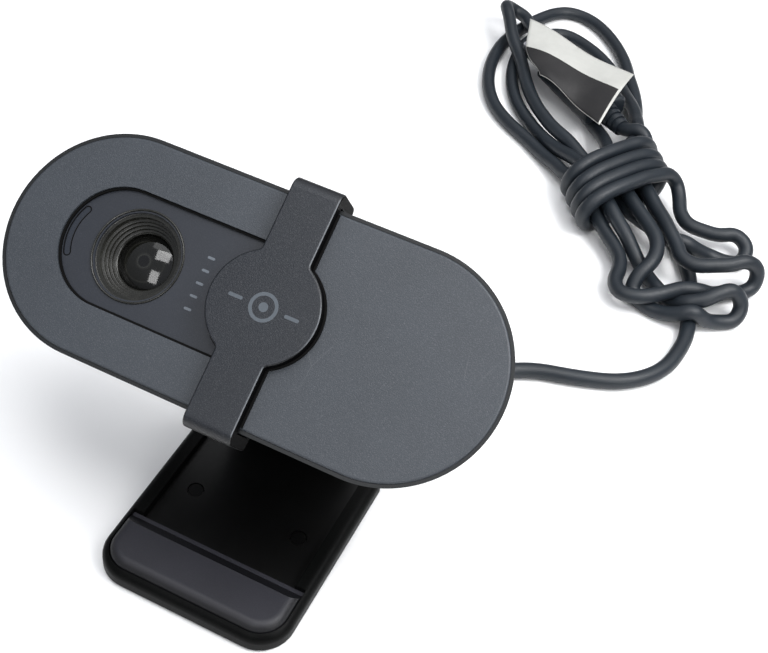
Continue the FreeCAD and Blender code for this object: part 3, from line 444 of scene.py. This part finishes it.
# ------------------------------------------------------------------ body frame of the pill
TH_B = math.radians(34.66)
SHIFT_Y, LIFT = 5.630, 58.944


def body(x, y, z):
    return Vector((x, y * math.cos(TH_B) - z * math.sin(TH_B) + SHIFT_Y, y * math.sin(TH_B) + z * math.cos(TH_B) + LIFT)) * MM


def prism(outline, z0, z1, hole=None):
    """closed prism between z0 and z1 in the body frame; outline (and hole) as matching rings of points"""
    n = len(outline)
    v, f = [], []
    if hole is None:
        for z in (z0, z1):
            v += [body(x, y, z) for x, y in outline]
        f.append(tuple(reversed(range(n))))
        f.append(tuple(range(n, 2 * n)))
        for i in range(n):
            j = (i + 1) % n
            f.append((i, j, n + j, n + i))
    else:
        for ring, z in ((outline, z0), (hole, z0), (outline, z1), (hole, z1)):
            v += [body(x, y, z) for x, y in ring]
        for i in range(n):
            j = (i + 1) % n
            f.append((j, i, n + i, n + j))
            f.append((2 * n + i, 2 * n + j, 3 * n + j, 3 * n + i))
            f.append((i, j, 2 * n + j, 2 * n + i))
            f.append((n + j, n + i, 3 * n + i, 3 * n + j))
    return v, f


def ring(cx, cy, r, n=64, a0=0.0):
    return [(cx + r * math.cos(a0 + 2 * math.pi * i / n), cy + r * math.sin(a0 + 2 * math.pi * i / n)) for i in range(n)]


def bar(cx, cy, w, h, n=8):
    # rounded bar
    r = min(w, h) / 2
    pts = []
    for qx, qy, a in ((1, 1, 0), (-1, 1, 90), (-1, -1, 180), (1, -1, 270)):
        for i in range(n + 1):
            t = math.radians(a + 90 * i / n)
            pts.append((cx + qx * (w / 2 - r) + r * math.cos(t), cy + qy * (h / 2 - r) + r * math.sin(t)))
    return pts


def add_prisms(name, items, mat, body_name):
    vs, fs = [], []
    for v, f in items:
        o = len(vs)
        vs += v
        fs += [tuple(k + o for k in q) for q in f]
    return link_mesh(name, vs, fs, [mat], body_name, smooth=False)


# generic pictogram on the shutter's disc: lens ring with a dot between two bars
BAND_X, BAND_TOP = 4.5, 2.9
PX = BAND_X + 0.2
zt = BAND_TOP
items = [
    prism(ring(PX, 0, 3.1), zt - 0.05, zt + 0.045, ring(PX, 0, 2.35)),
    prism(ring(PX, 0, 1.0), zt - 0.05, zt + 0.045),
    prism(bar(PX - 6.3, 0, 3.2, 0.75), zt - 0.05, zt + 0.045),
    prism(bar(PX + 6.3, 0, 3.2, 0.75), zt - 0.05, zt + 0.045),
]
add_prisms("shutter_pictogram", items, M_MARK, "shutter")

# copy of the shutter with two materials: the charcoal face, and near-black on the side walls and the faces turned back
# towards the panel, which is painted shade
old = N["privacy_shutter"]
me = old.data.copy()
me.name = "shutter_shaded_flanks"
shut = bpy.data.objects.new("shutter_shaded_flanks", me)
bpy.context.scene.collection.objects.link(shut)
me.materials.clear()
me.materials.append(M_SHUT)
me.materials.append(M_FLANK_SHADE)
face_z = Vector((0.0, -math.sin(TH_B), math.cos(TH_B)))
face_y = Vector((0.0, math.cos(TH_B), math.sin(TH_B)))
for p in me.polygons:
    nz, ny = p.normal.dot(face_z), p.normal.dot(face_y)
    c = p.center - body(0.0, 0.0, 0.0)
    cy = abs(c.dot(face_y))
    on_flank = abs(nz) < 0.25 and (abs(ny) < 0.25 or cy < 0.0135) or abs(p.normal.x) > 0.85
    inside = nz < -0.5
    p.material_index = 1 if (on_flank or inside) else 0
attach(shut, "shutter")
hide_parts("privacy_shutter")
# painted shade: the shutter's colour darkens where its surface turns away from the face, at the bends over the body's
# edges and on its rounded edges
by_facing(M_SHUT, face_z, [(0.0, (0.08, 0.08, 0.08)), (0.5, (0.14, 0.14, 0.14)), (0.88, (0.6, 0.6, 0.6)),
                           (0.98, (1, 1, 1))], "MULTIPLY")
# painted highlight: the right hand edges, where the surface faces right and up, are lightened
highlight_dir = (face_z * 0.80 + Vector((0.60, 0.0, 0.0))).normalized()
by_facing(M_SHUT, highlight_dir, [(0.0, (0, 0, 0)), (0.93, (0, 0, 0)), (0.985, (0.085, 0.092, 0.10)), (1.0, (0.085, 0.092, 0.10))], "ADD")


def shutter_outline(grow, yy=23.3, n=28):
    """disc and strap seen from the front, counterclockwise"""
    r, w = 12.0 + grow, 5.45 + grow
    yj = math.sqrt(r * r - w * w)
    a0 = math.asin(yj / r)
    pts = [(w, -yy), (w, -yj)]
    pts += [(r * math.cos(-a0 + 2 * a0 * i / n), r * math.sin(-a0 + 2 * a0 * i / n)) for i in range(1, n)]
    pts += [(w, yj), (w, yy), (-w, yy), (-w, yj)]
    pts += [(-r * math.cos(a0 - 2 * a0 * i / n), r * math.sin(a0 - 2 * a0 * i / n)) for i in range(1, n)]
    pts += [(-w, -yj), (-w, -yy)]
    return [(4.5 + x, y) for x, y in pts]


# painted shadow: a thin black skirt round the foot of the shutter stands for the shadow line it casts on the panel
v, f = prism(shutter_outline(0.42), 0.06, 0.55, shutter_outline(-0.5))
add_prisms("shutter_shadow_skirt", [(v, f)], M_LINE, "shutter")

# five level ticks beside the lens
REC_FLOOR = -1.1
items = [prism(bar(-11.2, 5.5 - 2.85 * i, 1.7, 0.55), REC_FLOOR - 0.04, REC_FLOOR + 0.035) for i in range(5)]
add_prisms("panel_ticks", items, M_TICK, "camera_body")

# thin seam round the indicator window
SLOT_CX, SLOT_R, SLOT_W, SLOT_A0, SLOT_A1 = -31.0, 11.0, 1.5, 153.0, 206.0


def slot_ring(grow, n=28, m=10):
    w2 = SLOT_W / 2 + grow
    pts = []
    for i in range(n + 1):
        a = math.radians(SLOT_A0 + (SLOT_A1 - SLOT_A0) * i / n)
        pts.append((SLOT_CX + (SLOT_R + w2) * math.cos(a), (SLOT_R + w2) * math.sin(a)))
    for end, sgn in ((SLOT_A1, 1), (SLOT_A0, -1)):
        a = math.radians(end)
        cx, cy = SLOT_CX + SLOT_R * math.cos(a), SLOT_R * math.sin(a)
        for i in range(1, m):
            t = a + math.pi * i / m if sgn > 0 else a + math.pi + math.pi * i / m
            pts.append((cx + w2 * math.cos(t), cy + w2 * math.sin(t)))
        if sgn > 0:
            for i in range(n + 1):
                b2 = math.radians(SLOT_A1 - (SLOT_A1 - SLOT_A0) * i / n)
                pts.append((SLOT_CX + (SLOT_R - w2) * math.cos(b2), (SLOT_R - w2) * math.sin(b2)))
    return pts


v, f = prism(slot_ring(0.13), REC_FLOOR - 0.04, REC_FLOOR + 0.02, slot_ring(-0.12))
add_prisms("indicator_seam", [(v, f)], M_LINE, "camera_body")

# black ring that lines the foot of the recess between the plate and the lens panel
def recess_ring(inset, n=64):
    r, cx, xr = 13.1 - inset, -30.5, 4.0 - inset
    pts = [(xr, -r)]
    pts += [(cx + (xr - cx) * (1 - i / 8), -r) for i in range(1, 8)]
    pts += [(cx - r * math.sin(math.pi * i / n), -r * math.cos(math.pi * i / n)) for i in range(n + 1)]
    pts += [(cx + (xr - cx) * (i / 8), r) for i in range(1, 8)]
    pts += [(xr, r)]
    return list(reversed(pts))


v, f = prism(recess_ring(0.02), REC_FLOOR - 0.30, REC_FLOOR + 0.62, recess_ring(0.50))
add_prisms("recess_black_lining", [(v, f)], M_LINE, "camera_body")

LENS_X = -26.1


def revolve(name, profile, mats, seg=128, sharp=35.0):
    """solid of revolution round the lens axis; the profile is a closed loop of (radius, z), all radii above zero
    unless it starts and ends on the axis"""
    on_axis = profile[0][0] == 0.0 and profile[-1][0] == 0.0
    ring_pts = profile[1:-1] if on_axis else profile
    vs, fs = [], []
    for i in range(seg):
        a = 2 * math.pi * i / seg
        vs += [body(LENS_X + r * math.cos(a), r * math.sin(a), z) for r, z in ring_pts]
    k = len(ring_pts)
    for i in range(seg):
        j = (i + 1) % seg
        for q in range(k - 1 if on_axis else k):
            p2 = (q + 1) % k
            fs.append((i * k + q, j * k + q, j * k + p2, i * k + p2))
    if on_axis:
        vs.append(body(LENS_X, 0, profile[0][1]))
        vs.append(body(LENS_X, 0, profile[-1][1]))
        c0, c1 = len(vs) - 2, len(vs) - 1
        for i in range(seg):
            j = (i + 1) % seg
            fs.append((c0, j * k, i * k))
            fs.append((c1, i * k + k - 1, j * k + k - 1))
    ob = link_mesh(name, vs, fs, mats, "camera_body")
    bm = bmesh.new()
    bm.from_mesh(ob.data)
    bmesh.ops.recalc_face_normals(bm, faces=bm.faces)
    for e in bm.edges:
        if len(e.link_faces) == 2 and e.calc_face_angle(0.0) > math.radians(sharp):
            e.smooth = False
    bm.to_mesh(ob.data)
    bm.free()
    return ob


# front glass: domed window, polished
GR, ZA, ZE, ZB = 6.06, -4.75, -6.1, -7.4
sag = ZA - ZE
GRAD = (GR * GR + sag * sag) / (2 * sag)
prof = [(0.0, ZA)]
for i in range(1, 25):
    r = GR * i / 24
    prof.append((r, ZA - GRAD + math.sqrt(GRAD * GRAD - r * r)))
prof += [(GR, ZB), (GR * 0.5, ZB), (0.0, ZB)]
M_DOME, nt, b = new_mat("front_glass_coated")
tc = nt.nodes.new("ShaderNodeTexCoord")
sub = nt.nodes.new("ShaderNodeVectorMath")
sub.operation = "SUBTRACT"
nt.links.new(tc.outputs["Object"], sub.inputs[0])
sub.inputs[1].default_value = body(LENS_X, 0, 0)
crs = nt.nodes.new("ShaderNodeVectorMath")
crs.operation = "CROSS_PRODUCT"
nt.links.new(sub.outputs["Vector"], crs.inputs[0])
crs.inputs[1].default_value = face_z
ln = nt.nodes.new("ShaderNodeVectorMath")
ln.operation = "LENGTH"
nt.links.new(crs.outputs["Vector"], ln.inputs[0])
nrm = nt.nodes.new("ShaderNodeMath")
nrm.operation = "MULTIPLY"
nt.links.new(ln.outputs["Value"], nrm.inputs[0])
nrm.inputs[1].default_value = 1000.0 / GR
# painted: the inner lens rings seen through the glass, as a colour that changes with distance from the lens axis; the
# two lighter bands are painted glints on their rims
rings = ramp(nt, nrm.outputs["Value"], [
    (0.0, (0.0008, 0.0008, 0.0008)), (0.19, (0.0010, 0.0010, 0.0010)), (0.23, (0.022, 0.023, 0.020)),
    (0.27, (0.010, 0.010, 0.008)), (0.33, (0.0035, 0.0036, 0.0026)), (0.68, (0.0055, 0.0056, 0.0042)),
    (0.72, (0.016, 0.016, 0.013)), (0.76, (0.0040, 0.0040, 0.0032)), (1.0, (0.0025, 0.0025, 0.0022))])
f = noise_tex(nt, coords(nt), 300.0, 2.0, 0.5)
nt.links.new(mix_col(nt, 1.0, rings, ramp(nt, f, [(0.3, (0.85, 0.85, 0.85)), (0.7, (1, 1, 1))]), "MULTIPLY"),
             b.inputs["Base Color"])
nt.links.new(grey(nt, f, 0.07, 0.09), b.inputs["Roughness"])
b.inputs["Alpha"].default_value = 0.9
b.inputs["Specular IOR Level"].default_value = 0.55
dome = revolve("front_glass_dome", prof, [M_DOME])
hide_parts("front_glass")

# lens surround: thin lip, then a stepped funnel down to the glass
prof = [(10.18, -1.75), (10.18, -0.95), (10.10, -0.80), (9.95, -0.74), (9.80, -0.80), (9.72, -0.95)]
r, z = 9.72, -0.95
for i in range(6):
    dz, dr = 0.72, 0.56
    prof += [(r - 0.02, z - dz + 0.10), (r - 0.08, z - dz + 0.02), (r - 0.16, z - dz)]
    r -= dr
    z -= dz
    prof += [(r + 0.10, z), (r + 0.03, z - 0.03), (r, z - 0.10)]
prof += [(6.12, z - 0.30), (6.12, -6.9), (8.6, -6.9), (8.6, -1.75)]
surround = revolve("lens_baffle", prof, [M_SURR])
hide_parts("lens_surround")

# iris behind the front glass: black blades round a six sided hole
out = ring(LENS_X, 0, 5.7, 60)
hexa = []
for i in range(60):
    a = 2 * math.pi * i / 60
    k = math.cos(math.pi / 6) / math.cos((a % (math.pi / 3)) - math.pi / 6)
    hexa.append((LENS_X + 1.9 * k * math.cos(a), 1.9 * k * math.sin(a)))
v, f = prism(out, -7.62, -7.44, hexa)
add_prisms("lens_iris", [(v, f)], M_INNER, "camera_body")
hex_in = [(LENS_X + (x - LENS_X) * 0.80, y * 0.80) for x, y in hexa]
v, f = prism(hexa, -7.60, -7.43, hex_in)
add_prisms("lens_iris_edge", [(v, f)], M_HEX, "camera_body")

# ------------------------------------------------------------------ floor and lights
fm, nt, b = new_mat("floor_paper")
v = coords(nt)
f = noise_tex(nt, v, 6.0, 3.0, 0.5)
nt.links.new(ramp(nt, f, [(0.3, (0.93, 0.93, 0.93)), (0.7, (0.95, 0.95, 0.95))]), b.inputs["Base Color"])
nt.links.new(grey(nt, f, 0.75, 0.85), b.inputs["Roughness"])
b.inputs["Specular IOR Level"].default_value = 0.2
me = bpy.data.meshes.new("floor")
me.from_pydata([(-6, -6, 0), (6, -6, 0), (6, 6, 0), (-6, 6, 0)], [], [(0, 1, 2, 3)])
me.materials.append(fm)
floor = bpy.data.objects.new("floor", me)
bpy.context.scene.collection.objects.link(floor)

w = bpy.data.worlds.new("studio")
bpy.context.scene.world = w
w.use_nodes = True
wt = w.node_tree
tc = wt.nodes.new("ShaderNodeTexCoord")
sep = wt.nodes.new("ShaderNodeSeparateXYZ")
wt.links.new(tc.outputs["Generated"], sep.inputs["Vector"])
wr = wt.nodes.new("ShaderNodeValToRGB")
wr.color_ramp.elements[0].position = 0.02
wr.color_ramp.elements[0].color = (0.10, 0.10, 0.11, 1.0)
wr.color_ramp.elements[1].position = 0.75
wr.color_ramp.elements[1].color = (0.50, 0.52, 0.56, 1.0)
wt.links.new(sep.outputs["Z"], wr.inputs["Fac"])
wt.links.new(wr.outputs["Color"], wt.nodes["Background"].inputs["Color"])
wt.nodes["Background"].inputs["Strength"].default_value = 1.0


def area(name, loc, target, size, energy, size_y=None):
    d = bpy.data.lights.new(name, "AREA")
    d.energy = energy
    d.shape = "RECTANGLE"
    d.size = size
    d.size_y = size_y or size
    o = bpy.data.objects.new(name, d)
    bpy.context.scene.collection.objects.link(o)
    o.location = loc
    o.rotation_euler = (Vector(target) - Vector(loc)).to_track_quat("-Z", "Y").to_euler()
    return o


area("key", (0.24, 0.09, 0.34), (0.03, 0.03, 0.05), 0.20, 1.25)
area("top", (0.1, 0.5, 1.3), (0.02, 0.05, 0.0), 1.3, 8.0)
area("edge", (0.29, -0.08, 0.243), (0.01, 0.01, 0.06), 0.10, 0.5, 0.30)
LENS_AT = (-0.0255, 0.0088, 0.0545)
area("glint_a", (-0.014, -0.056, 0.501), LENS_AT, 0.19, 0.62, 0.14)
area("glint_b", (-0.003, -0.327, 0.354), LENS_AT, 0.12, 0.46, 0.17)
